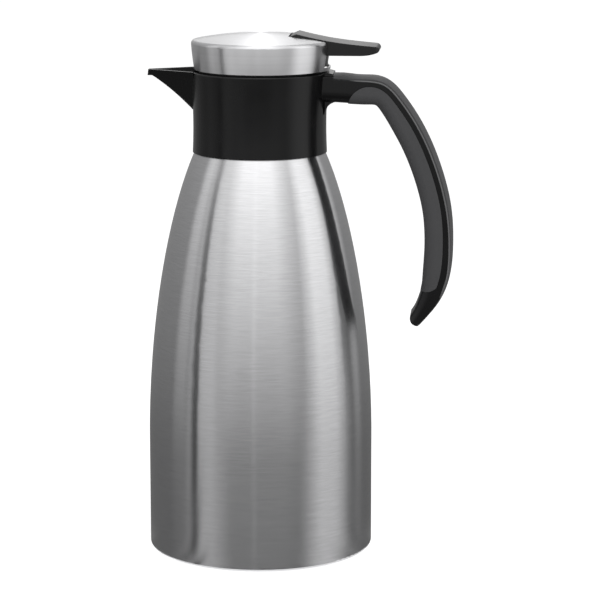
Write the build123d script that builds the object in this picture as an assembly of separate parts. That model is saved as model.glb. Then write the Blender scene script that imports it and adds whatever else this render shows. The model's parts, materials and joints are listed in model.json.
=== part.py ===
from build123d import *
import math
import os

# Vacuum carafe, 1.5 litres. Millimetres, +Z up. The origin is on the flask's axis at
# the floor. +X points to the handle and -X to the spout.

os.makedirs("parts", exist_ok=True)

# ---------------------------------------------------------------- flask
body_radius = 60.0          # outside of the straight lower wall
belly_height = 59.1         # where the wall starts to lean in
belly_pull = 56.0           # how long the wall keeps its upright direction
shoulder_pull = 40.0        # how long the shoulder keeps the direction of its seat
seat_radius = 34.7          # steel at the collar's lower edge
seat_height = 214.3
seat_slope = 23.6           # lean of the steel there, degrees from upright
steel_wall = 0.6
vacuum_gap = 4.8            # between the two steel walls
base_edge = 2.2             # rounding between the wall and the floor
foot_width = 5.5            # flat ring that the flask stands on
base_recess = 4.0
vessel_floor = 8.0          # underside of the inner vessel
vessel_corner = 12.0
neck_radius = 27.0
mouth_radius = 23.5
mouth_height = 235.1
shoulder_rise = 4.6         # steel hidden under the collar, up to the neck's root
shoulder_step = 0.9         # rise of the step between shoulder and neck
shoulder_corner = 1.4
plate_step = 2.5            # width of the base plate's slope into the recess
vent_radius = 1.2           # hole through which the flask was pumped empty
seal_cap_radius = 7.0
seal_cap_height = 1.0
getter_radius = 5.0
getter_height = 1.8

# ---------------------------------------------------------------- collar
collar_ledge = 0.9          # the collar's lower edge stands this far out of the steel
collar_waist = 0.35         # the collar draws in by this much above its lower edge
rim_radius = 36.5
rim_height = 257.1
rim_round = 0.8
bore_radius = 32.0          # well that the lid sits in
floor_thickness = 2.0       # floor of the well, over the flask's mouth
gasket_thickness = 1.0
sleeve_wall = 1.8           # threaded sleeve round the steel neck
sleeve_lift = 3.2           # the sleeve ends this far above the steel shoulder
floor_web = 1.0             # extra floor thickness between sleeve and wall
lip_height = 1.2            # upright part of the lip that grips the steel
fit_gap = 0.15              # between pieces that are screwed or pressed together
seat_gap = 0.25             # between the collar's lip and the steel

# ---------------------------------------------------------------- spout
spout_reach = 59.0          # from the axis to the tip's upper edge
spout_half_width = 14.6     # half the channel's mouth at the collar's wall
spout_tip_width = 1.9       # half the width at the tip
spout_depth = 26.1          # from the rim down to the keel's root
keel_bulge = 1.5            # the keel is bowed out by this much
spout_lift = 0.4            # the spout's edges stand this far over the rim
spout_tip_depth = 3.8
drip_lip = 0.7              # the tip's lower edge stands out by this much
drip_lip_length = 1.8
spout_wall = 1.5

# ---------------------------------------------------------------- handle
handle_reach = 103.0        # from the axis to the back of the handle
handle_drop = 133.0         # from the rim down to the handle's free end
handle_thickness = 14.8     # from back to palm side
bend_thinning = 1.1         # the handle is this much thinner at its upper bend
bend_share = 0.21
handle_half_width = 12.0
palm_rounding = 5.5
spine_thickness = 2.4
spine_inset = 1.4           # ledge beside the cover strip, each side
spine_crown = 1.3
band_width = 2.9            # bare core between the cover strip and the grip
grip_skin = 3.2             # thickness of the soft grip over the core's rib
grip_proud = 0.35           # the grip stands this far out of the core
toe_thickness = 8.0         # the handle thins to this at its free end
toe_half_width = 10.8
root_fillet = 6.0           # under the handle, against the collar
peg_radius = 1.6
peg_length = 3.5
peg_shares = (0.12, 0.34, 0.56, 0.78)
strip_end = 0.90            # share of the handle's length where the cover strip ends
grip_ends = (0.105, 0.875)  # shares between which the grip's long edge runs
thin_from = 0.80            # the handle thins from here to its free end
loft_pair = 0.4             # between the paired sections at the ends of a loft

# ---------------------------------------------------------------- lid
lid_gap = 0.35              # between the lid and the collar's bore
rest_gap = 0.2              # under the lid's flange
plug_radius = 21.6
plug_depth = 30.0           # below the collar's floor
plug_wall = 1.6
plug_floor = 2.0
plug_edge = 2.0
flange_radius = 26.5
flange_thickness = 2.0
flow_radius = 10.5          # inside of the tube that the drink rises through
seat_hole_radius = 6.8
gasket_height = 3.0
gasket_bite = 1.0           # depth of the gasket's groove in the plug
slide_gap = 0.1             # between the gasket and the steel neck
port_height = 6.0
rib_count = 6
rib_width = 3.0
ring_wall = 3.4
deck_thickness = 2.0
o_ring_height = 2.3
o_ring_depth = 1.4
o_ring_lift = 1.5           # groove's lower edge over the inner deck
cap_offset = 1.35           # the cap sits this far towards the lever
cap_gap = 1.1               # gap line between the cap and the rim
cap_foot_radius = 35.9
cap_brow_radius = 37.45
cap_height = 18.95          # from the cap's lower edge up to its top
cap_wall = 0.8
cap_edge = 2.0              # rounding between the skirt and the dome
dome_radius = 185.0
slot_front = 16.2
slot_half_width = 13.0
slot_sill = 1.6             # steel left under the slot

# ---------------------------------------------------------------- lever and valve
pivot_x = 26.0
pivot_drop = 9.55           # below the top of the cap
pin_radius = 1.5
hinge_radius = 3.6          # outside of the lever's hub and of the ears
pin_clearance = 0.05
lever_half_width = 12.0
lever_front = 16.8
lever_reach = 63.6
lever_droop = 6.2           # the top falls by this much from front to tip
lever_depth = 5.0
lever_proud = 0.3           # the front edge stands this far over the cap's highest point
lever_corner = 3.5          # rounding of the tip's corners, seen from above
apron_wall = 1.6
apron_gap = 0.35            # from the apron to the cap's wall and sill
lever_wall = 2.2
ear_thickness = 3.0
ear_gap = 0.5
nose_radius = 3.0
prong_width = 3.0
stem_radius = 2.0
guide_length = 5.0          # boss under the lid's inner deck that guides the stem
guide_wall = 2.6
stem_clearance = 0.05
lift_gap = 0.15             # between the lever's nose and the stem's washer
washer_radius = 6.0
washer_thickness = 1.2
clip_thickness = 0.8
disc_radius = 8.8
disc_thickness = 2.0
seal_thickness = 1.5
hub_radius = 3.9
hub_height = 2.4
spring_radius = 5.4
spring_wire = 0.45
spring_turns = 7
screw_radius = 1.3
screw_head_radius = 2.6
screw_head_height = 1.6
screw_circle = 22.0

# ---------------------------------------------------------------- levels that follow
well_floor = mouth_height + gasket_thickness + floor_thickness
flange_z = well_floor + rest_gap
cage_floor = flange_z + 2 * flange_thickness
cage_top = cage_floor + port_height
cap_z = rim_height + cap_gap
apex_z = cap_z + cap_height
deck_z = cap_z + 0.1
deck_top = deck_z + deck_thickness
pivot_z = apex_z - pivot_drop
plug_z = flange_z - plug_depth
nose_top = pivot_z - 1.0
collar_radius = seat_radius + collar_ledge
ring_radius = bore_radius - lid_gap


def disc(radius, z, height, inner=0.0, x=0.0, y=0.0):
    """A round plate or ring that starts at z."""
    body = Cylinder(radius, height, align=(Align.CENTER, Align.CENTER, Align.MIN))
    if inner:
        body -= Cylinder(inner, height, align=(Align.CENTER, Align.CENTER, Align.MIN))
    return Pos(x, y, z) * body


def block(x0, x1, half_y, z0, z1):
    """A box from x0 to x1 and z0 to z1, centred on the XZ plane."""
    size = Box(x1 - x0, 2 * half_y, z1 - z0, align=(Align.MIN, Align.CENTER, Align.MIN))
    return Pos(x0, 0, z0) * size


def turned(edges):
    """Revolve a closed outline of (radius, z) edges round the axis."""
    return revolve(Plane.XZ * make_face(edges), Axis.Z)


def turned_polygon(*points):
    """Revolve a polygon of (radius, z) points round the axis."""
    return turned(Polyline(*points, close=True).edges())


def prism(edges, half_y):
    """Extrude a closed outline of (x, z) edges to both sides of the XZ plane."""
    return extrude(Plane.XZ * make_face(edges), amount=half_y, both=True)


# ---------------------------------------------------------------- flask pieces
def flask_form(inset, floor_z, corner, neck, top_z):
    """Solid of the flask's outline, drawn in by an inset from its outer surface."""
    lean = math.radians(seat_slope)
    out_x, out_z = math.cos(lean), math.sin(lean)
    lower = body_radius - inset
    seat = (seat_radius - inset * out_x, seat_height - inset * out_z)
    pull = (seat[0] + shoulder_pull * out_z, seat[1] - shoulder_pull * out_x)
    bend = (seat[0] - shoulder_rise * out_z, seat[1] + shoulder_rise * out_x)
    root = (neck, bend[1] + shoulder_step)
    foot = FilletPolyline((0, floor_z), (lower, floor_z), (lower, belly_height), radius=corner)
    belly = Bezier((lower, belly_height), (lower, belly_height + belly_pull), pull, seat)
    shoulder = FilletPolyline(seat, bend, root, (neck, top_z), radius=shoulder_corner)
    lid = Polyline((neck, top_z), (0, top_z), (0, floor_z))
    return turned([*foot.edges(), *belly.edges(), *shoulder.edges(), *lid.edges()])


vessel_neck = mouth_radius + steel_wall


def make_outer_shell():
    outside = flask_form(0, 0, base_edge, neck_radius, mouth_height)
    inside = flask_form(
        steel_wall, steel_wall, base_edge - steel_wall,
        neck_radius - steel_wall, mouth_height - steel_wall,
    )
    shell = outside - inside
    shell -= disc(body_radius - base_edge - foot_width, -1, 2 + steel_wall)
    return shell - disc(vessel_neck, mouth_height - 2, 4)


def make_inner_vessel():
    outer_inset = steel_wall + vacuum_gap
    outside = flask_form(outer_inset, vessel_floor, vessel_corner, vessel_neck, mouth_height)
    inside = flask_form(
        outer_inset + steel_wall, vessel_floor + steel_wall, vessel_corner - steel_wall,
        mouth_radius, mouth_height + 1,
    )
    return outside - inside


foot_inner = body_radius - base_edge - foot_width
plate_top = steel_wall + base_recess


def make_base_plate():
    edge = body_radius - base_edge - 0.2
    step = foot_inner - plate_step
    plate = turned_polygon(
        (0, plate_top - steel_wall), (step, plate_top - steel_wall),
        (foot_inner - 0.4, steel_wall), (edge, steel_wall), (edge, 2 * steel_wall),
        (foot_inner, 2 * steel_wall), (step + 0.4, plate_top), (0, plate_top),
    )
    return plate - disc(vent_radius, 0, 2 * plate_top)


def make_seal_cap():
    cap = disc(seal_cap_radius, plate_top - steel_wall - seal_cap_height, seal_cap_height)
    return fillet(cap.edges().group_by(Axis.Z)[0], 0.6 * seal_cap_height)


def make_getter():
    return disc(getter_radius, plate_top, getter_height, x=body_radius / 2)


def make_neck_gasket():
    inner = vessel_neck + 0.2
    return disc(neck_radius - 0.1, mouth_height, gasket_thickness, inner=inner)


# ---------------------------------------------------------------- collar, spout, handle core
def collar_ring():
    """Round part of the collar: outer wall, well for the lid, floor and threaded sleeve."""
    under = well_floor - floor_thickness
    lean = math.tan(math.radians(seat_slope))
    lip_inner = seat_radius + seat_gap
    wall_inner = bore_radius + seat_gap + fit_gap
    lip_top = seat_height + (lip_inner - wall_inner) / lean + lip_height
    sleeve = neck_radius + fit_gap
    sleeve_bottom = seat_height + shoulder_rise + sleeve_lift
    mouth = mouth_radius + seat_gap + fit_gap
    waist_z = (seat_height + well_floor) / 2
    rim_low = (rim_radius, rim_height - rim_round)
    rim_top = (rim_radius - rim_round, rim_height)
    slant = rim_round * (1 - math.sqrt(0.5))
    wall = ThreePointArc(
        (collar_radius, seat_height), (collar_radius - collar_waist, waist_z), rim_low
    )
    edge = ThreePointArc(rim_low, (rim_radius - slant, rim_height - slant), rim_top)
    rest = Polyline(
        rim_top, (bore_radius, rim_height), (bore_radius, well_floor),
        (mouth, well_floor), (mouth, under), (sleeve, under), (sleeve, sleeve_bottom),
        (sleeve + sleeve_wall, sleeve_bottom), (sleeve + sleeve_wall, under - floor_web),
        (wall_inner, under - floor_web), (wall_inner, lip_top), (lip_inner, seat_height),
        (collar_radius, seat_height),
    )
    return turned([*wall.edges(), *edge.edges(), *rest.edges()])


def spout_section(x, half_width, top_z, keel_z, lean=0.0):
    """V-shaped face across the spout at x, with a rounded keel."""
    plane = Plane(origin=(x, 0, top_z), x_dir=(0, 1, 0), z_dir=(-1, 0, lean))
    depth = (top_z - keel_z) * math.sqrt(1 + lean * lean)
    round_keel = 0.32 * half_width
    sides = FilletPolyline((-half_width, 0), (0, depth), (half_width, 0), radius=round_keel)
    return plane * make_face([*sides.edges(), Line((half_width, 0), (-half_width, 0))])


def spout_keel(x):
    """Height of the keel's convex arc at a distance x from the axis."""
    root = (rim_radius - 1.1, rim_height - spout_depth)
    tip = (spout_reach - drip_lip_length, rim_height - spout_tip_depth + 0.2)
    share = (x - root[0]) / (tip[0] - root[0])
    return root[1] + (tip[1] - root[1]) * share + keel_bulge * 4 * share * (1 - share)


def spout_half(x):
    """Half the width of the spout at a distance x from the axis."""
    root = rim_radius - 0.5
    share = (x - root) / (spout_reach - root)
    return spout_half_width + (spout_tip_width - spout_half_width) * share


def spout_bodies():
    """The spout's outer form, and the channel that is cut out of it."""
    top = rim_height + spout_lift
    wall = spout_wall
    tip_x = spout_reach - drip_lip_length
    stations = [rim_radius - 3.0, rim_radius + 3.5, rim_radius + 10.5, tip_x]
    outer = []
    inner = []
    for x in stations:
        outer.append(spout_section(-x, spout_half(x), top, spout_keel(x)))
        slim = max(spout_half(x) - wall, 0.9)
        inner.append(spout_section(-x, slim, top + 0.6, spout_keel(x) + 1.6 * wall))
    lean = drip_lip / spout_tip_depth
    tip = spout_section(-spout_reach, spout_tip_width, top, rim_height - spout_tip_depth, lean)
    form = loft(outer) + loft([outer[-1], tip], ruled=True)
    far = spout_section(-spout_reach - 2, 0.8, top + 0.6, top - 0.9)
    channel = loft(inner) + loft([inner[-1], far], ruled=True)
    deep = spout_section(-bore_radius + 3, spout_half(stations[0]) - wall, top + 0.6,
                         spout_keel(stations[0]) + 1.6 * wall)
    channel += loft([deep, inner[0]], ruled=True)
    return form, channel


# Stations of the handle's back: share of its reach out of the rim, share of its drop.
back_shape = [
    (0.045, 0.0060), (0.200, 0.0100), (0.360, 0.0150), (0.448, 0.0250), (0.600, 0.093),
    (0.776, 0.230), (0.908, 0.390), (0.985, 0.550), (1.000, 0.677), (0.967, 0.834),
    (0.895, 0.918), (0.768, 0.998),
]


def back_curve():
    """The handle's back, from the collar to the free end."""
    span = handle_reach - rim_radius
    points = [(rim_radius + a * span, rim_height - b * handle_drop) for a, b in back_shape]
    return Spline(*points, tangents=[(1, -0.03), (-0.66, -0.75)])


handle_back = back_curve()


def inside_back(share, depth):
    """The (x, z) point at a depth inside the handle's back."""
    here = handle_back @ share
    along = handle_back % share
    return (here.X + along.Y * depth, here.Y - along.X * depth)


def toe_share(share):
    """How far the handle has thinned at a share of its length, from 0 to 1."""
    return max(0.0, (share - thin_from) / (1 - thin_from)) ** 1.5


def palm_depth(share):
    """Depth of the palm side, less at the upper bend and towards the free end."""
    bend = bend_thinning * math.exp(-((share - bend_share) / 0.07) ** 2)
    return handle_thickness - bend - (handle_thickness - toe_thickness) * toe_share(share)


def half_width(share):
    return handle_half_width - (handle_half_width - toe_half_width) * toe_share(share)


def strip_depth(share):
    """Thickness of the cover strip, which thins towards its lower end."""
    return spine_thickness * (1 - 0.6 * max(0.0, (share - 0.6) / 0.4))


def across(share, beyond=0.0):
    """Plane square to the handle: x across it, y from the back to the palm."""
    here = handle_back @ share
    along = handle_back % share
    origin = (here.X + along.X * beyond, 0, here.Y + along.Y * beyond)
    return Plane(origin=origin, x_dir=(0, -1, 0), z_dir=(along.X, 0, along.Y))


def slab_section(half, top, bottom, palm_round, crown=0.0):
    """Section across the handle, from a top depth to a bottom depth, with a crowned top."""
    palm_round = min(palm_round, 0.45 * (bottom - top))
    shoulder = top + crown
    sides = FilletPolyline(
        (half, shoulder), (half, bottom), (-half, bottom), (-half, shoulder), radius=palm_round
    )
    if crown:
        back = ThreePointArc((-half, shoulder), (0, top), (half, shoulder))
    else:
        back = Line((-half, shoulder), (half, shoulder))
    return make_face([*back.edges(), *sides.edges()])


def handle_loft(section, before=0.0, beyond=9.0, count=20):
    """Loft of section(share) along the whole handle, and past its ends.

    A close pair of sections at each end keeps the loft true to its curve there.
    """
    starts = [-before, loft_pair - before] if before else []
    faces = [across(0, beyond=at) * section(0) for at in (*starts, 0.0, loft_pair)]
    for k in range(1, count):
        share = k / (count - 1)
        faces.append(across(share) * section(share))
    faces += [across(1, beyond=at) * section(1) for at in (beyond - loft_pair, beyond)]
    return loft(faces)


def handle_start():
    """How far the handle runs back into the collar's wall from its first station."""
    wall = collar_radius - collar_waist - 0.1
    return (handle_back @ 0).X - math.sqrt(wall ** 2 - handle_half_width ** 2)


def handle_form(extra):
    """The whole handle without its parting lines, larger by an extra on sides and palm."""
    def section(share):
        half = half_width(share) + extra
        return slab_section(half, 0, palm_depth(share) + extra, palm_rounding, spine_crown)

    toe_round = Cylinder(toe_thickness / 2 + extra + 0.05, 60, rotation=(90, 0, 0))
    x, z = inside_back(1, toe_thickness / 2 + extra / 2)
    past_toe = across(1) * extrude(Pos(0, 5) * Rectangle(60, 30), amount=15)
    past_toe -= Pos(x, 0, z) * toe_round
    return handle_loft(section, before=handle_start()) - past_toe


def strip_space():
    """Space over the core that the cover strip takes, over the handle's full width."""
    def section(share):
        wide = handle_half_width + 3
        return slab_section(wide, -3, strip_depth(share), 0.2)

    space = handle_loft(section)
    end = handle_back @ strip_end
    along = handle_back % strip_end
    past = Plane(origin=(end.X, 0, end.Y), x_dir=(0, -1, 0), z_dir=(along.X, 0, along.Y))
    return space - past * extrude(Rectangle(80, 50), amount=60)


def bowed(a, b, bow):
    """Arc from a to b that bulges sideways by a bow."""
    dx, dz = b[0] - a[0], b[1] - a[1]
    size = math.hypot(dx, dz)
    middle = ((a[0] + b[0]) / 2 - dz / size * bow, (a[1] + b[1]) / 2 + dx / size * bow)
    return ThreePointArc(a, middle, b)


def grip_space():
    """Region of the handle that the soft grip takes, seen from the side."""
    start, end = grip_ends
    depth = spine_thickness + band_width
    shares = [start + (end - start) * k / 11 for k in range(12)]
    line = [inside_back(q, depth) for q in shares]
    low = inside_back(end + 0.035, handle_thickness + 3)
    high = inside_back(start - 0.055, handle_thickness + 3)
    palm = [inside_back(q, handle_thickness + 5) for q in shares[1:-1]]
    edges = [
        *Spline(*line).edges(),
        *bowed(line[-1], low, 3.0).edges(),
        *Polyline(low, *palm[::-1], high).edges(),
        *bowed(high, line[0], 3.0).edges(),
    ]
    return prism(edges, 2 * handle_half_width)


def core_rib():
    """Rib of the core that the soft grip wraps."""
    def section(share):
        half = half_width(share) - grip_skin
        return slab_section(half, spine_thickness + 1, palm_depth(share) - grip_skin, 3.0)

    return handle_loft(section, beyond=0.5)


def pegs(radius, length):
    """Snap pegs under the cover strip."""
    found = []
    for share in peg_shares:
        x, z = inside_back(share, strip_depth(share) - 0.6)
        along = handle_back % share
        frame = Plane(origin=(x, 0, z), z_dir=(along.Y, 0, -along.X))
        found.append(frame * extrude(Circle(radius), amount=length + 0.6))
    return Part() + found


def root_web():
    """Concave web under the handle's root, against the collar."""
    under = inside_back(0, handle_thickness)[1] + 0.3
    wall_x = collar_radius - collar_waist - 0.4
    corner = (wall_x + 1.2 + root_fillet, under)
    foot = (wall_x, under - root_fillet - 1.0)
    middle = (wall_x + 1.2 + 0.2 * root_fillet, under - 0.3 * root_fillet)
    edges = [
        *ThreePointArc(corner, middle, foot).edges(),
        *Polyline(foot, (wall_x, under + 1), (corner[0], under + 1), corner).edges(),
    ]
    return prism(edges, handle_half_width - 0.75 * palm_rounding)


def root_step():
    """Slope from the rim down to the start of the cover strip."""
    start = handle_back @ 0
    points = [
        (rim_radius - 2, rim_height - 3), (rim_radius - 2, rim_height),
        (rim_radius + 0.4, rim_height), (start.X - fit_gap, start.Y + 0.2),
        (start.X - fit_gap, rim_height - 3),
    ]
    return prism(Polyline(*points, close=True).edges(), handle_half_width - 1.5 * spine_inset)


def make_collar():
    form, channel = spout_bodies()
    core = handle_form(0) - strip_space() - grip_space() + core_rib() + root_web() + root_step()
    core -= pegs(peg_radius + fit_gap, peg_length + fit_gap)
    well = disc(bore_radius, well_floor, 2 * rim_height)
    ring = collar_ring()
    return ring + (form - well) + (core - well) - channel


def make_handle_spine():
    def section(share):
        half = half_width(share) - spine_inset
        return slab_section(half, 0, strip_depth(share) + 3, 0.2, spine_crown)

    form = handle_loft(section, beyond=1.0)
    return (form & strip_space()) + pegs(peg_radius, peg_length)


def make_handle_grip():
    return (handle_form(grip_proud) & grip_space()) - core_rib()


# ---------------------------------------------------------------- lid pieces
gasket_z = mouth_height - 2 * gasket_height
neck_wall_gap = mouth_radius - slide_gap


def make_lid_plug():
    """Lower shell of the lid: plug, rising tube and the valve's seat."""
    groove = plug_radius - gasket_bite
    body = disc(plug_radius, plug_z, flange_z - plug_z)
    body = fillet(body.edges().group_by(Axis.Z)[0], plug_edge)
    body += disc(flange_radius, flange_z, flange_thickness)
    floor = plug_z + plug_floor
    top = flange_z + flange_thickness
    body -= disc(plug_radius - 2 * plug_wall, floor, top - floor, inner=flow_radius + plug_wall)
    body -= disc(flow_radius, floor, top - floor)
    body -= disc(seat_hole_radius, plug_z, floor - plug_z)
    cut = gasket_height + 2 * slide_gap
    return body - disc(plug_radius + 1, gasket_z - slide_gap, cut, inner=groove)


def make_lid_foam():
    """Insulation in the ring-shaped pocket of the plug."""
    floor = plug_z + plug_floor + 0.1
    top = flange_z + flange_thickness - 0.1
    outer = plug_radius - 2 * plug_wall - 0.1
    return disc(outer, floor, top - floor, inner=flow_radius + plug_wall + 0.1)


def make_lid_gasket():
    """Seal ring of the plug, with two lips."""
    inner = plug_radius - gasket_bite + slide_gap
    lip = neck_wall_gap
    waist = plug_radius + 0.4
    z0, z1 = gasket_z, gasket_z + gasket_height
    return turned_polygon(
        (inner, z0), (lip - 0.5, z0), (lip, z0 + 0.5), (waist, (z0 + z1) / 2),
        (lip, z1 - 0.5), (lip - 0.5, z1), (inner, z1),
    )


def make_lid_body():
    """Carrier of the lid: cage with the pour ports, stem guide and threaded ring."""
    floor = flange_z + flange_thickness
    deck = cage_top
    body = disc(flange_radius, floor, flange_thickness, inner=flow_radius)
    body += disc(ring_radius, deck, deck_thickness)
    ring = disc(ring_radius, deck, deck_z - deck, inner=ring_radius - ring_wall)
    body += ring
    rib = block(flow_radius + 3, flange_radius - 0.5, rib_width / 2, cage_floor - 0.5, deck + 0.5)
    for k in range(rib_count):
        body += Rot(0, 0, 360 / rib_count * (k + 0.5)) * rib
    body += disc(hub_radius + guide_wall, deck - guide_length, guide_length + deck_thickness)
    for x, y in screw_places():
        body += disc(2 * screw_radius, deck, deck_z - deck, x=x, y=y)
        body -= disc(screw_radius, deck + deck_thickness, deck_z - deck, x=x, y=y)
    body -= disc(stem_radius + stem_clearance, floor, deck_z - floor + 1)
    groove_z = deck + o_ring_lift
    cut = o_ring_height + 0.2
    return body - disc(ring_radius + 1, groove_z, cut, inner=ring_radius - o_ring_depth)


def make_o_ring():
    """Upper seal ring, between the lid and the collar's well."""
    inner = ring_radius - o_ring_depth + 0.05
    outer = bore_radius - slide_gap
    z = cage_top + o_ring_lift + 0.1
    ring = disc(outer, z, o_ring_height, inner=inner)
    return fillet(ring.edges().filter_by(GeomType.CIRCLE).sort_by(SortBy.RADIUS)[-2:], 0.6)


def screw_places():
    """Centres of the four screws that hold the lid's deck."""
    return [
        (screw_circle * math.cos(math.radians(a)), screw_circle * math.sin(math.radians(a)))
        for a in (60, 120, 240, 300)
    ]


def make_lid_screws():
    screws = []
    for x, y in screw_places():
        shank = disc(screw_radius, cage_top + deck_thickness, deck_top - cage_top - 2, x=x, y=y)
        head = disc(screw_head_radius, deck_top, screw_head_height, x=x, y=y)
        head = fillet(head.edges().group_by(Axis.Z)[-1], 0.6)
        cross = Box(0.8, 3.2, screw_head_height) + Box(3.2, 0.8, screw_head_height)
        screws.append(shank + head - Pos(x, y, deck_top + screw_head_height) * cross)
    return Compound(children=[s.solid() for s in screws])


def make_lid_deck():
    """Black deck inside the cap, with the lever's two ears."""
    edge = cap_foot_radius - cap_wall - fit_gap
    deck = disc(edge, deck_z, deck_thickness, x=cap_offset)
    for x, y in screw_places():
        deck -= disc(screw_radius + fit_gap, deck_z, deck_thickness, x=x, y=y)
    deck -= disc(stem_radius + 4 * stem_clearance, deck_z, deck_thickness)
    ear_inner = lever_half_width + ear_gap
    foot = block(pivot_x - 6, pivot_x + 4.5, ear_inner + ear_thickness, deck_z, pivot_z)
    crown = Pos(pivot_x, 0, pivot_z) * Cylinder(
        hinge_radius, 2 * (ear_inner + ear_thickness), rotation=(90, 0, 0)
    )
    gap = block(0, body_radius, ear_inner, deck_top, apex_z + 10)
    ears = foot + crown - gap
    bore = Cylinder(pin_radius, 80, rotation=(90, 0, 0))
    notch = block(pivot_x + 4.8, body_radius, ear_inner + 0.2, deck_z - 1, deck_top + 1)
    return deck + ears - Pos(pivot_x, 0, pivot_z) * bore - notch


def make_lever_pin():
    length = 2 * (lever_half_width + ear_gap + ear_thickness)
    pin = Cylinder(pin_radius, length, rotation=(90, 0, 0))
    return Pos(pivot_x, 0, pivot_z) * chamfer(pin.edges().filter_by(GeomType.CIRCLE), 0.3)


def cap_outline(inset):
    """Half section of the cap, drawn in by an inset: flared skirt, rounded edge and dome."""
    foot = (cap_foot_radius - inset, cap_z)
    brow = cap_brow_radius - inset
    edge = cap_edge - inset
    top_z = apex_z - inset
    dome = dome_radius - inset
    dome_z = top_z - dome
    edge_x = brow - edge
    edge_z = dome_z + math.sqrt((dome - edge) ** 2 - edge_x ** 2)
    lean = math.asin(edge_x / (dome - edge))
    meet = (dome * math.sin(lean), dome_z + dome * math.cos(lean))
    bend = math.radians(45) - lean / 2
    bulge = (edge_x + edge * math.cos(bend), edge_z + edge * math.sin(bend))
    half_way = (dome * math.sin(lean / 2), dome_z + dome * math.cos(lean / 2))
    waist = (foot[0] + 0.62 * (brow - foot[0]), (cap_z + edge_z) / 2)
    return [
        *ThreePointArc(foot, waist, (brow, edge_z)).edges(),
        *ThreePointArc((brow, edge_z), bulge, meet).edges(),
        *ThreePointArc(meet, half_way, (0, top_z)).edges(),
        *Polyline((0, top_z), (0, cap_z), foot).edges(),
    ]


def make_lid_cap():
    """Spun steel cap with the lever's slot."""
    cap = turned(cap_outline(0)) - turned(cap_outline(cap_wall))
    cap = Pos(cap_offset, 0, 0) * cap
    sill = cap_z + slot_sill
    slot = block(slot_front, 2 * body_radius, slot_half_width, sill, apex_z + 5)
    corners = slot.edges().filter_by(Axis.Z).sort_by(Axis.X)[:2]
    return cap - fillet(corners, 1.5)


# ---------------------------------------------------------------- lever
lever_top = apex_z + lever_proud


def lever_outline():
    """Side view of the lever outside its hub."""
    tip_z = lever_top - lever_droop
    front = (lever_front + 3.4, lever_top)
    knee = (lever_front + 21.0, lever_top - 0.60 * lever_droop)
    tip_top = (lever_reach - 2.0, tip_z - 0.2)
    nose = (lever_reach, tip_z - 2.2)
    under = (lever_reach - 2.2, tip_z - 0.76 * lever_depth)
    belly = (lever_reach - 11.0, tip_z - lever_depth)
    inner = (pivot_x + 10.0, tip_z - lever_depth)
    return [
        *Spline(front, knee, tip_top, tangents=[(1, -0.25), (1, -0.09)]).edges(),
        *ThreePointArc(tip_top, (lever_reach - 0.5, tip_z - 0.95), nose).edges(),
        *Spline(nose, under, belly, tangents=[(-0.3, -1), (-1, 0)]).edges(),
        *Polyline(belly, inner, (pivot_x - 3.0, tip_z - lever_depth), (pivot_x - 5, pivot_z + 1.5),
                  (lever_front, pivot_z + 4.0), (lever_front, lever_top - 1.5), front).edges(),
    ]


def lever_plan():
    """The lever's rounded shape seen from above, as a tall solid."""
    back = lever_front - lever_corner
    corners = FilletPolyline(
        (back, -lever_half_width), (lever_reach, -lever_half_width),
        (lever_reach, lever_half_width), (back, lever_half_width), radius=lever_corner,
    )
    closing = Line((back, lever_half_width), (back, -lever_half_width))
    return extrude(make_face([*corners.edges(), closing]), amount=2 * rim_height)


def make_thumb_lever():
    """Lever with its hub, apron and the two prongs that lift the valve's stem."""
    tip_z = lever_top - lever_droop
    underside = tip_z - lever_depth
    plate = prism(lever_outline(), lever_half_width) & lever_plan()
    pocket = block(pivot_x + 13.0, lever_reach - 7.0, lever_half_width - lever_wall,
                   underside - 2, tip_z - lever_wall + 0.2)
    plate -= pocket
    hub = Cylinder(hinge_radius, 2 * lever_half_width, rotation=(90, 0, 0))
    plate += Pos(pivot_x, 0, pivot_z) * hub
    apron_radius = cap_foot_radius - cap_wall - apron_gap
    apron_foot = cap_z + slot_sill + apron_gap
    apron = disc(apron_radius, apron_foot, underside + 1 - apron_foot,
                 inner=apron_radius - apron_wall, x=cap_offset)
    plate += apron & block(pivot_x, body_radius, lever_half_width - 0.1, apron_foot, lever_top)
    nose_z = nose_top - nose_radius
    prong = block(0, pivot_x, lever_half_width, nose_z - 2.2, nose_z + 2.0)
    prong += Pos(0, 0, nose_z) * Cylinder(nose_radius, 2 * lever_half_width, rotation=(90, 0, 0))
    inner = stem_radius + 0.6
    keep = block(-9, pivot_x, inner + prong_width, nose_z - 9, nose_z + 9)
    keep -= block(-9, pivot_x - 8, inner, nose_z - 9, nose_z + 9)
    plate += prong & keep
    return plate - Pos(pivot_x, 0, pivot_z) * Cylinder(
        pin_radius + pin_clearance, 80, rotation=(90, 0, 0)
    )


# ---------------------------------------------------------------- valve
seal_z = plug_z + plug_floor + slide_gap
disc_z = seal_z + seal_thickness
hub_top = disc_z + disc_thickness + hub_height
washer_z = nose_top + lift_gap
clip_z = washer_z + washer_thickness


def make_valve_stem():
    """Rod of the valve, with a groove for the clip."""
    top = clip_z + clip_thickness + 0.8
    stem = disc(stem_radius, disc_z, top - disc_z)
    stem = chamfer(stem.edges().group_by(Axis.Z)[-1], 0.4)
    return stem - disc(stem_radius + 1, clip_z, clip_thickness, inner=stem_radius - 0.5)


def make_valve_disc():
    valve = disc(disc_radius, disc_z, disc_thickness) + disc(hub_radius, disc_z, hub_top - disc_z)
    valve -= disc(stem_radius, disc_z, hub_top - disc_z)
    return fillet(valve.edges().group_by(Axis.Z)[-1].sort_by(SortBy.RADIUS)[-1:], 0.5)


def make_valve_seal():
    return disc(disc_radius - 0.2, seal_z, seal_thickness, inner=stem_radius + 0.5)


def make_lift_washer():
    return disc(washer_radius, washer_z, washer_thickness, inner=stem_radius + 0.05)


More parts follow.
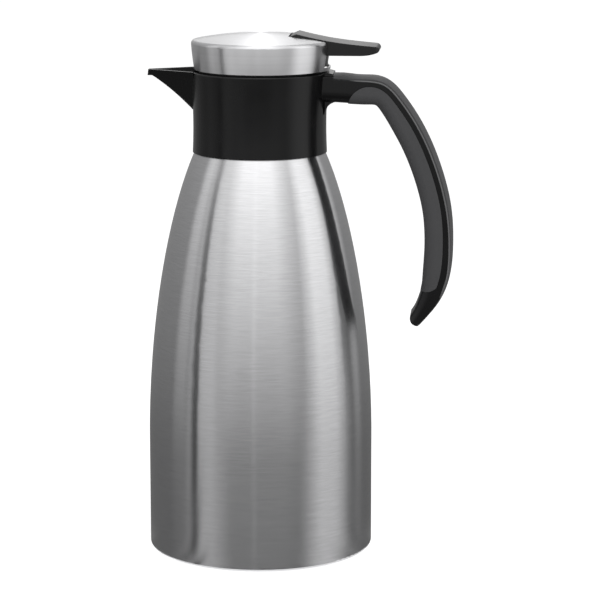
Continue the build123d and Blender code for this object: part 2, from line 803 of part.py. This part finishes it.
def make_stem_clip():
    clip = disc(stem_radius + 1.8, clip_z, clip_thickness, inner=stem_radius - 0.5)
    return clip - block(0, 10, 1.0, clip_z, clip_z + clip_thickness)


def make_valve_spring():
    """Coil spring between the valve's disc and the stem's guide."""
    low = disc_z + disc_thickness + spring_wire + 0.05
    high = cage_top - guide_length - spring_wire - 0.05
    coil = Helix((high - low) / spring_turns, high - low, spring_radius)
    start = Plane(origin=coil @ 0, z_dir=coil % 0)
    wire = sweep(start * Circle(spring_wire), path=coil, is_frenet=True)
    return Pos(0, 0, low) * wire


# ---------------------------------------------------------------- the whole carafe
pieces = {
    "outer_shell": make_outer_shell,
    "inner_vessel": make_inner_vessel,
    "base_plate": make_base_plate,
    "seal_cap": make_seal_cap,
    "getter": make_getter,
    "neck_gasket": make_neck_gasket,
    "collar": make_collar,
    "handle_spine": make_handle_spine,
    "handle_grip": make_handle_grip,
    "lid_plug": make_lid_plug,
    "lid_foam": make_lid_foam,
    "lid_gasket": make_lid_gasket,
    "lid_body": make_lid_body,
    "o_ring": make_o_ring,
    "lid_deck": make_lid_deck,
    "lid_screws": make_lid_screws,
    "lid_cap": make_lid_cap,
    "lever_pin": make_lever_pin,
    "thumb_lever": make_thumb_lever,
    "valve_stem": make_valve_stem,
    "valve_disc": make_valve_disc,
    "valve_seal": make_valve_seal,
    "lift_washer": make_lift_washer,
    "stem_clip": make_stem_clip,
    "valve_spring": make_valve_spring,
}

for name, make in pieces.items():
    export_step(make(), f"parts/{name}.step")
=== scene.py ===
import json
import math

import bmesh
import bpy
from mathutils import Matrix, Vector


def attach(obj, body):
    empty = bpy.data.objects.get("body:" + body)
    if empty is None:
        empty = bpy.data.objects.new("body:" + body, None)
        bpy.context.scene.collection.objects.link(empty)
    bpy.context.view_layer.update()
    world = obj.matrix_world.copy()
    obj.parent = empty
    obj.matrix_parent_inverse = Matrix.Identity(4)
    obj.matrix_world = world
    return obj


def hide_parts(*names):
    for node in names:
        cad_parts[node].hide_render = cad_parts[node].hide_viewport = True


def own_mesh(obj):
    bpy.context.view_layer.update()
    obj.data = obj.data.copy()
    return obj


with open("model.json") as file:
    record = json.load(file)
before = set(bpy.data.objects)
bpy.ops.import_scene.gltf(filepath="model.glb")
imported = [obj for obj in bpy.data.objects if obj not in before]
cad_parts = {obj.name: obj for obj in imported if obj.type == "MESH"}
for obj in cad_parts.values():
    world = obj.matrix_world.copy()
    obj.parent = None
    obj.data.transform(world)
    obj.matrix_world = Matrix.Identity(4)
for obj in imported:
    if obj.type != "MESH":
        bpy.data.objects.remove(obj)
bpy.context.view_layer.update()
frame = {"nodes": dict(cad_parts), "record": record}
nodes = frame["nodes"]

# ---------------------------------------------------------------- camera
CAMERA_AT = Vector((0.1288, -1.3634, 0.3995))
CAMERA_LOOKS = Vector((-0.07715, 0.9787, -0.1905))
CAMERA_LENS = 156.0
CAMERA_SENSOR = 36.0

camera = bpy.data.objects.new("camera", bpy.data.cameras.new("camera"))
camera.data.lens = CAMERA_LENS
camera.data.sensor_width = CAMERA_SENSOR
camera.location = CAMERA_AT
camera.rotation_euler = CAMERA_LOOKS.to_track_quat("-Z", "Y").to_euler()
bpy.context.scene.collection.objects.link(camera)
bpy.context.scene.camera = camera
bpy.context.scene.view_settings.view_transform = "Standard"


# ---------------------------------------------------------------- node helpers
class Look:
    """A node material: the shader, and short calls that add nodes to it."""

    def __init__(self, name, **values):
        self.material = bpy.data.materials.new(name)
        self.material.use_nodes = True
        self.tree = self.material.node_tree
        self.shader = self.tree.nodes["Principled BSDF"]
        for key, value in values.items():
            self.shader.inputs[key.replace("_", " ")].default_value = value

    def add(self, kind, *wires, **settings):
        node = self.tree.nodes.new("ShaderNode" + kind)
        for key, value in settings.items():
            setattr(node, key, value)
        for socket, value in wires:
            if isinstance(value, bpy.types.NodeSocket):
                self.tree.links.new(value, node.inputs[socket])
            else:
                node.inputs[socket].default_value = value
        return node

    def into(self, socket, value):
        self.tree.links.new(value, self.shader.inputs[socket])

    def place(self, scale, shift=(0, 0, 0)):
        """The point on the object, in metres, times a scale for each axis."""
        point = self.add("TexCoord").outputs["Object"]
        return self.add(
            "Mapping", ("Vector", point), ("Scale", scale), ("Location", shift)
        ).outputs[0]

    def along(self, distance, scale):
        """A point that moves with a distance alone, times a scale."""
        return self.add("CombineXYZ", ("X", self.math("MULTIPLY", distance, scale))).outputs[0]

    def noise(self, vector, scale=1.0, detail=2.0, rough=0.5):
        return self.add(
            "TexNoise", ("Vector", vector), ("Scale", scale),
            ("Detail", detail), ("Roughness", rough),
        ).outputs["Fac"]

    def ramp(self, value, low, high, to_low=0.0, to_high=1.0):
        return self.add(
            "MapRange", ("Value", value), ("From Min", low), ("From Max", high),
            ("To Min", to_low), ("To Max", to_high), clamp=True,
        ).outputs[0]

    def math(self, operation, a, b):
        return self.add("Math", (0, a), (1, b), operation=operation).outputs[0]

    def tint(self, factor, dark, light):
        return self.add(
            "Mix", ("Factor", factor), (6, (*dark, 1)), (7, (*light, 1)), data_type="RGBA"
        ).outputs[2]

    def bump(self, height, distance, strength=1.0, edge=0.0):
        """Relief from a height, over edges that are rounded by a radius in metres."""
        wires = [("Height", height), ("Distance", distance), ("Strength", strength)]
        if edge:
            wires.append(("Normal", self.add("Bevel", ("Radius", edge), samples=6).outputs[0]))
        self.into("Normal", self.add("Bump", *wires).outputs[0])


def spread_round(colour, share):
    """A darker and a lighter colour, a share below and above this one."""
    return [tuple(min(1.0, c * (1 + step)) for c in colour) for step in (-share, share)]


# Noise scales of the brushing, per metre: round the wall and up it, and outwards on the cap.
FINE_LINES = (110, 110, 3600)
BROAD_LINES = (55, 55, 1500)
FINE_RINGS = 2600.0
BROAD_RINGS = 500.0
FINE_SHARE = 0.7
LINE_CONTRAST = (0.32, 0.68)
LINE_DEPTH = 0.00001
LINE_STRENGTH = 0.5


def steel(name, colour, roughness, grain, ring_centre=None):
    """Brushed steel. The lines run round the Z axis; on the cap they are rings."""
    look = Look(name, Metallic=1.0, Roughness=roughness, Anisotropic=1.0, Anisotropic_Rotation=0.25)
    look.into("Tangent", look.add("Tangent", direction_type="RADIAL", axis="Z").outputs[0])
    if ring_centre is None:
        fine = look.noise(look.place(FINE_LINES), detail=2.0, rough=0.6)
        broad = look.noise(look.place(BROAD_LINES), detail=3.0)
    else:
        point = look.place((1, 1, 0), (-ring_centre, 0, 0))
        radius = look.add("VectorMath", (0, point), operation="LENGTH").outputs["Value"]
        fine = look.noise(look.along(radius, FINE_RINGS), detail=3.0, rough=0.6)
        broad = look.noise(look.along(radius, BROAD_RINGS))
    mixed = look.math(
        "ADD", look.math("MULTIPLY", fine, FINE_SHARE), look.math("MULTIPLY", broad, 1 - FINE_SHARE)
    )
    look.into("Base Color", look.tint(look.ramp(mixed, *LINE_CONTRAST), *spread_round(colour, grain)))
    look.bump(fine, LINE_DEPTH, LINE_STRENGTH)
    return look.material


TEXTURE_CONTRAST = (0.35, 0.65)
TEXTURE_STRENGTH = 0.6
CLOUD_SCALE = 60.0
CLOUD_CONTRAST = (0.3, 0.7)
CLOUD_SMOOTHER = 0.03
CLOUD_ROUGHER = 0.04


def plastic(name, colour, roughness, texture, depth, spread=0.12, specular=0.5, edge=0.0004):
    """Moulded plastic with a fine eroded texture, whose roughness varies in soft clouds."""
    look = Look(name, Roughness=roughness)
    look.shader.inputs["Specular IOR Level"].default_value = specular
    fine = look.noise(look.place((1, 1, 1)), scale=texture, detail=3.0, rough=0.6)
    cloud = look.noise(look.place((1, 1, 1)), scale=CLOUD_SCALE, detail=2.0)
    look.into("Base Color", look.tint(look.ramp(fine, *TEXTURE_CONTRAST), *spread_round(colour, spread)))
    look.into("Roughness", look.ramp(
        cloud, *CLOUD_CONTRAST, roughness - CLOUD_SMOOTHER, roughness + CLOUD_ROUGHER
    ))
    look.bump(fine, depth, TEXTURE_STRENGTH, edge)
    return look.material


LOOKS = {
    "brushed_steel": steel("steel_brushed", (0.62, 0.62, 0.63), 0.21, grain=0.07),
    "spun_steel": steel("steel_spun", (0.72, 0.72, 0.73), 0.29, grain=0.08, ring_centre=0.00135),
    "inner_steel": steel("steel_drawn", (0.60, 0.60, 0.60), 0.40, grain=0.06),
    "getter_metal": plastic("getter_dull", (0.40, 0.40, 0.40), 0.6, 2500.0, 0.00002),
    "silicone": plastic("silicone", (0.50, 0.50, 0.48), 0.5, 1500.0, 0.00001),
    "black_plastic": plastic(
        "plastic_black", (0.0025, 0.0025, 0.0027), 0.24, 2800.0, 0.000004, specular=0.31),
    "spine_plastic": plastic(
        "plastic_spine", (0.060, 0.060, 0.062), 0.50, 2600.0, 0.00003, spread=0.2, specular=0.4),
    "grip_rubber": plastic(
        "grip_soft", (0.050, 0.050, 0.052), 0.70, 2600.0, 0.00001, spread=0.1, specular=0.3),
    "lid_plastic": plastic("plastic_lid", (0.008, 0.008, 0.0085), 0.42, 2500.0, 0.00001),
    "foam": plastic("foam", (0.80, 0.78, 0.70), 0.9, 900.0, 0.0001),
    "small_steel": plastic("steel_small", (0.60, 0.60, 0.60), 0.25, 3000.0, 0.000005, spread=0.04),
    "lever_plastic": plastic(
        "plastic_lever", (0.005, 0.005, 0.0053), 0.33, 2600.0, 0.00001, spread=0.15, specular=0.34),
    "spring_steel": plastic("steel_spring", (0.60, 0.60, 0.60), 0.25, 3000.0, 0.000005, spread=0.04),
}
# The small steel pieces have plastic()'s even surface, without brushing, but as metal.
for metal in ("small_steel", "spring_steel"):
    LOOKS[metal].node_tree.nodes["Principled BSDF"].inputs["Metallic"].default_value = 1.0

for part in frame["record"]["subparts"]:
    node = nodes[part["node"]]
    node.data.materials.clear()
    node.data.materials.append(LOOKS[part["material_slot"]])


# ---------------------------------------------------------------- bead beside the handle's strip, in a light grey that paints a highlight
BEAD_RADIUS = 0.00038
BEAD_SIDES = 8
HANDLE_MIDDLE = Vector((0.050, 0.0, 0.170))
HANDLE_EDGE = 0.0085  # the handle's side faces are at least this far from its middle plane
HANDLE_FROM = 0.044  # distance from the axis where the strip starts
LEDGE_REACH = 0.0021  # the ledge is less than this wide
SAME_PLACE = 1e-6
FLANK_TURN = 0.9  # a side face's normal has at least this much Y
LEDGE_TURN = 0.4  # the ledge's normal has at most this much Y
LEDGE_OUTWARD = 0.8  # and X and Z that add up to at least this
BEAD_END = 0.3  # radius of the bead's first and last ring, as a share
# Light grey look of the bead: a painted highlight along the black core's edge, not the plastic's own
# colour.
PAINTED_HIGHLIGHT_LOOK = plastic(
    "painted_highlight_bead", (0.11, 0.11, 0.112), 0.30, 2800.0, 0.000004, specular=0.6, edge=0.0)
ACROSS = Vector((0, 1, 0))


def ledge_corners(side):
    """Corners of the core, on one side, between its side face and the ledge beside the strip."""
    core, strip = nodes["collar"], nodes["handle_spine"]
    mesh = bmesh.new()
    mesh.from_mesh(core.data)
    mesh.transform(core.matrix_world)
    bmesh.ops.remove_doubles(mesh, verts=mesh.verts, dist=SAME_PLACE)
    mesh.normal_update()
    found = set()
    for edge in mesh.edges:
        if len(edge.link_faces) != 2:
            continue
        normals = [face.normal.copy() for face in edge.link_faces]
        flank, ledge = sorted(normals, key=lambda n: -n.y * side)
        if flank.y * side < FLANK_TURN or abs(ledge.y) > LEDGE_TURN or ledge.x + ledge.z < LEDGE_OUTWARD:
            continue
        for corner in edge.verts:
            place = corner.co
            if place.y * side > HANDLE_EDGE and place.x > HANDLE_FROM and beside(strip, place):
                found.add(tuple(round(v, 6) for v in place))
    mesh.free()
    return [Vector(p) for p in sorted(found, key=turn_round_handle)]


def beside(strip, place):
    """True where a point lies within the ledge's width of the strip."""
    local = strip.matrix_world.inverted() @ place
    return (strip.closest_point_on_mesh(local)[1] - local).length < LEDGE_REACH


def turn_round_handle(place):
    """Angle of a point as seen from the middle of the handle, rising from root to free end."""
    return -math.atan2(place[2] - HANDLE_MIDDLE.z, place[0] - HANDLE_MIDDLE.x)


def tube_faces(rings, sides):
    """Faces of a closed tube whose vertices are rings of a number of sides."""
    faces = [tuple(range(sides)), tuple(range(rings * sides - 1, (rings - 1) * sides - 1, -1))]
    for k in range(rings - 1):
        for i in range(sides):
            j = (i + 1) % sides
            low, high = k * sides, (k + 1) * sides
            faces.append((low + j, low + i, high + i, high + j))
    return faces


def bead(side):
    """Thin round bead along the ledge's corner; its light grey look paints the highlight where the
    core's edge catches the light.
    """
    path = ledge_corners(side)
    verts = []
    for k, place in enumerate(path):
        along = (path[min(k + 1, len(path) - 1)] - path[max(k - 1, 0)]).normalized()
        out = ACROSS.cross(along).normalized()
        shrink = BEAD_END if k in (0, len(path) - 1) else 1.0
        for i in range(BEAD_SIDES):
            turn = 2 * math.pi * i / BEAD_SIDES
            spoke = math.cos(turn) * out + math.sin(turn) * ACROSS
            verts.append(place + BEAD_RADIUS * shrink * spoke)
    mesh = bpy.data.meshes.new("handle_painted_highlight")
    mesh.from_pydata(verts, [], tube_faces(len(path), BEAD_SIDES))
    mesh.shade_smooth()
    thing = bpy.data.objects.new("handle_painted_highlight_" + ("back" if side > 0 else "front"), mesh)
    bpy.context.scene.collection.objects.link(thing)
    return thing


# Two beads, one on each side, that carry the painted edge highlight.
for side in (-1, 1):
    line = bead(side)
    line.data.materials.append(PAINTED_HIGHLIGHT_LOOK)
    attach(line, "flask")


# ---------------------------------------------------------------- valve spring
SPRING_WIRE = 0.00045
SPRING_TURNS = 7
SPRING_SIDES = 10
STEPS_A_TURN = 32


def valve_spring():
    """Coil in the place of the CAD spring. It is rigid and carried with the lid; it doesn't close up as
    the valve lifts.
    """
    coil = nodes["valve_spring"]
    corners = [coil.matrix_world @ vert.co for vert in coil.data.vertices]
    low = min(v.z for v in corners) + SPRING_WIRE
    high = max(v.z for v in corners) - SPRING_WIRE
    radius = max(math.hypot(v.x, v.y) for v in corners) - SPRING_WIRE
    start = min(corners, key=lambda v: v.z)
    first = math.atan2(start.y, start.x)
    pitch = math.atan2((high - low) / SPRING_TURNS, 2 * math.pi * radius)
    steps = SPRING_TURNS * STEPS_A_TURN
    verts = []
    for k in range(steps + 1):
        turn = first + 2 * math.pi * k / STEPS_A_TURN
        out = Vector((math.cos(turn), math.sin(turn), 0))
        back = Vector((math.sin(turn), -math.cos(turn), 0))
        up = back * math.sin(pitch) + Vector((0, 0, math.cos(pitch)))
        middle = out * radius + Vector((0, 0, low + (high - low) * k / steps))
        for i in range(SPRING_SIDES):
            around = 2 * math.pi * i / SPRING_SIDES
            verts.append(middle + SPRING_WIRE * (math.cos(around) * out + math.sin(around) * up))
    mesh = bpy.data.meshes.new("spring_coil")
    mesh.from_pydata(verts, [], tube_faces(steps + 1, SPRING_SIDES))
    mesh.shade_smooth()
    mesh.materials.append(LOOKS["spring_steel"])
    spring = bpy.data.objects.new("spring_coil", mesh)
    bpy.context.scene.collection.objects.link(spring)
    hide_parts("valve_spring")
    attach(spring, "lid")
    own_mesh(spring)


valve_spring()


# ---------------------------------------------------------------- floor and light
def stage_object(name, mesh):
    thing = bpy.data.objects.new(name, mesh)
    bpy.context.scene.collection.objects.link(thing)
    return thing


PAPER_GREY = 0.75
PAPER_GLOW = 0.62
SKY_SEEN = 1.0
SKY_LIGHT = 0.55


def paper(name, diffuse, glow):
    """White studio paper: it glows for the camera and for reflections, and keeps shadows."""
    mat = bpy.data.materials.new(name)
    mat.use_nodes = True
    tree = mat.node_tree
    tree.nodes.clear()
    out = tree.nodes.new("ShaderNodeOutputMaterial")
    both = tree.nodes.new("ShaderNodeAddShader")
    matte = tree.nodes.new("ShaderNodeBsdfDiffuse")
    matte.inputs["Color"].default_value = (diffuse, diffuse, diffuse, 1)
    light = tree.nodes.new("ShaderNodeEmission")
    tree.links.new(seen_directly(tree, glow, 0.0), light.inputs["Strength"])
    tree.links.new(matte.outputs[0], both.inputs[0])
    tree.links.new(light.outputs[0], both.inputs[1])
    tree.links.new(both.outputs[0], out.inputs["Surface"])
    return mat


def seen_directly(tree, yes, no):
    """yes for camera, glossy and transmission rays, no for the rest."""
    path = tree.nodes.new("ShaderNodeLightPath")
    total = path.outputs["Is Camera Ray"]
    for ray in ("Is Glossy Ray", "Is Transmission Ray"):
        step = tree.nodes.new("ShaderNodeMath")
        step.operation = "MAXIMUM"
        tree.links.new(total, step.inputs[0])
        tree.links.new(path.outputs[ray], step.inputs[1])
        total = step.outputs[0]
    span = tree.nodes.new("ShaderNodeMapRange")
    tree.links.new(total, span.inputs["Value"])
    span.inputs["To Min"].default_value = no
    span.inputs["To Max"].default_value = yes
    return span.outputs[0]


FLOOR_HALF = 6.0
FLOOR_DROP = 0.0002  # just below the foot, so that the two faces never share a plane
floor_mesh = bpy.data.meshes.new("floor")
floor_mesh.from_pydata(
    [(-FLOOR_HALF, -FLOOR_HALF, 0), (FLOOR_HALF, -FLOOR_HALF, 0),
     (FLOOR_HALF, FLOOR_HALF, 0), (-FLOOR_HALF, FLOOR_HALF, 0)], [], [(0, 1, 2, 3)])
floor = stage_object("floor", floor_mesh)
floor.location.z = -FLOOR_DROP
floor_mesh.materials.append(paper("paper", PAPER_GREY, PAPER_GLOW))

world = bpy.data.worlds.new("studio")
bpy.context.scene.world = world
world.use_nodes = True
sky = world.node_tree.nodes["Background"]
sky.inputs["Color"].default_value = (1, 1, 1, 1)
world.node_tree.links.new(seen_directly(world.node_tree, SKY_SEEN, SKY_LIGHT), sky.inputs["Strength"])

# The light tent: a soft shell round the carafe that only reflections see, dim as the room is,
# with a few soft boxes on it. Azimuth is in degrees from the camera's side, positive to the
# right. It is the direction in which the steel wall reflects, so a box shows as an upright
# band on the wall. "at" is a box's middle, "half" its half width, "fade" its soft edge.
# "glow" is its light near the floor and high up, and "rise" the elevations between them.
ROOM = {"rise": (-20.0, 40.0), "glow": (0.15, 0.55)}
BOXES = {
    "front": {"at": -5.0, "half": 25.0, "fade": 50.0, "rise": (-20.0, 40.0), "glow": (0.15, 1.8)},
    "left": {"at": -60.0, "half": 8.0, "fade": 20.0, "rise": (-20.0, 40.0), "glow": (0.45, 1.2)},
    "far left": {"at": -92.0, "half": 5.0, "fade": 8.0, "rise": (-20.0, 40.0), "glow": (0.15, 1.2)},
    "right": {"at": 75.0, "half": 10.0, "fade": 25.0, "rise": (-20.0, 20.0), "glow": (0.6, 1.5)},
    "far right": {"at": 120.0, "half": 2.0, "fade": 8.0, "rise": (-20.0, 20.0), "glow": (0.2, 0.8)},
    "back": {"at": 180.0, "half": 4.0, "fade": 8.0, "rise": (8.0, 24.0), "glow": (0.2, 1.9)},
}
# Flags that darken the tent: azimuth of both edges, how far each edge fades, elevation of the
# lower end, and the share taken away low down and high up. The strip lights it instead.
CARDS = [
    {"edges": (-78.0, -67.0), "fade": (4.0, 2.0), "from": -90.0, "low": 0.95, "high": 0.65},
    {"edges": (97.0, 112.0), "fade": (2.0, 4.0), "from": -3.0, "low": 0.95, "high": 0.95},
    {"edges": (-10.0, -4.0), "fade": (3.0, 3.0), "from": -90.0, "low": -0.3, "high": -0.05},
]
CARD_RISE = (-15.0, 30.0)
CARD_END_FADE = 4.0
# A grey card on the floor in front, seen by the black collar: radius, azimuth, share taken.
FRONT_CARD = {"radius": (0.95, 1.38), "edges": (-34.0, 28.0), "fade": 14.0, "share": 0.8}
CAMERA_AZIMUTH = math.atan2(CAMERA_AT.y, CAMERA_AT.x)
WALL_RADIUS = 0.060
EYE_LEVEL = 0.12
# Radius and height of the tent, from the foot along the floor and up to the top.
TENT = [
    (0.0605, 0.0004), (0.09, 0.0004), (0.12, 0.0004), (0.20, 0.0004), (0.30, 0.0004),
    (0.45, 0.0005), (0.60, 0.0005), (0.80, 0.0006), (1.00, 0.0007), (1.20, 0.0008),
    (1.35, 0.12), (1.38, 0.20), (1.40, 0.30), (1.40, 0.55), (1.35, 0.80),
    (1.20, 1.05), (0.90, 1.30), (0.50, 1.45), (0.05, 1.50),
]
TENT_STEPS = 540
REFLECTION_ROUNDS = 12


def clamped(value):
    return max(0.0, min(1.0, value))


def risen(low, high, rise, elevation):
    """Value that goes from low to high between two elevations."""
    return low + (high - low) * clamped((elevation - rise[0]) / (rise[1] - rise[0]))


def wall_azimuth(azimuth, radius):
    """Direction of the wall's reflection that meets the tent at this azimuth and radius."""
    turned = azimuth
    for _ in range(REFLECTION_ROUNDS):
        turned = azimuth + math.degrees(
            math.asin(min(1.0, WALL_RADIUS / radius) * math.sin(math.radians(turned / 2))))
    return max(-180.0, min(180.0, turned))


def card_shade(card, azimuth, elevation):
    """The share of the glow that a card takes away at this place."""
    left, right = card["edges"]
    inside = min((azimuth - left) / card["fade"][0], (right - azimuth) / card["fade"][1])
    above = (elevation - card["from"]) / CARD_END_FADE
    dark = risen(card["low"], card["high"], CARD_RISE, elevation)
    return dark * clamped(inside) * clamped(above)


def box_glow(box, azimuth, elevation, room):
    """Light of a box at this place, which fades into the room's."""
    away = abs((azimuth - box["at"] + 180.0) % 360.0 - 180.0)
    share = clamped((box["half"] + box["fade"] - away) / box["fade"])
    return room + share * (risen(*box["glow"], box["rise"], elevation) - room)


def tent_glow(azimuth, radius, height):
    seen = wall_azimuth(azimuth, radius)
    elevation = math.degrees(math.atan2(height - EYE_LEVEL, radius))
    room = risen(*ROOM["glow"], ROOM["rise"], elevation)
    glow = max(box_glow(box, seen, elevation, room) for box in BOXES.values())
    for card in CARDS:
        glow *= 1 - card_shade(card, seen, elevation)
    near, far = FRONT_CARD["radius"]
    if near < radius <= far and height < EYE_LEVEL:
        left, right = FRONT_CARD["edges"]
        inside = min(azimuth - left, right - azimuth) / FRONT_CARD["fade"]
        glow *= 1 - FRONT_CARD["share"] * clamped(inside)
    return glow


def build_tent():
    verts, faces, glows = [], [], []
    for radius, height in TENT:
        for i in range(TENT_STEPS):
            azimuth = i * 360.0 / TENT_STEPS - 180.0
            angle = CAMERA_AZIMUTH + math.radians(azimuth)
            verts.append((radius * math.cos(angle), radius * math.sin(angle), height))
            glows.append(tent_glow(azimuth, radius, height))
    for r in range(len(TENT) - 1):
        for i in range(TENT_STEPS):
            j = (i + 1) % TENT_STEPS
            low, high = r * TENT_STEPS, (r + 1) * TENT_STEPS
            faces.append((low + i, low + j, high + j, high + i))
    mesh = bpy.data.meshes.new("tent")
    mesh.from_pydata(verts, [], faces)
    glow = mesh.attributes.new("glow", "FLOAT", "POINT")
    glow.data.foreach_set("value", glows)
    mat = bpy.data.materials.new("tent")
    mat.use_nodes = True
    tree = mat.node_tree
    tree.nodes.clear()
    read = tree.nodes.new("ShaderNodeAttribute")
    read.attribute_name = "glow"
    light = tree.nodes.new("ShaderNodeEmission")
    out = tree.nodes.new("ShaderNodeOutputMaterial")
    tree.links.new(read.outputs["Fac"], light.inputs["Strength"])
    tree.links.new(light.outputs[0], out.inputs["Surface"])
    mesh.materials.append(mat)
    tent = stage_object("tent", mesh)
    tent.visible_camera = False
    tent.visible_diffuse = False
    tent.visible_shadow = False
    tent.visible_transmission = False


build_tent()


def area_light(name, place, target, size, power):
    data = bpy.data.lights.new(name, "AREA")
    data.shape = "RECTANGLE"
    data.size, data.size_y = size
    data.energy = power
    lamp = bpy.data.objects.new(name, data)
    lamp.location = place
    lamp.rotation_euler = (Vector(target) - Vector(place)).to_track_quat("-Z", "Y").to_euler()
    lamp.visible_glossy = False
    lamp.visible_camera = False
    bpy.context.scene.collection.objects.link(lamp)


LAMPS_LOOK_AT = (0, 0, 0.15)
area_light("key", (0.9, -1.1, 1.1), LAMPS_LOOK_AT, size=(0.8, 0.8), power=12.0)
area_light("fill", (-1.2, -0.8, 0.7), LAMPS_LOOK_AT, size=(0.9, 0.9), power=8.0)
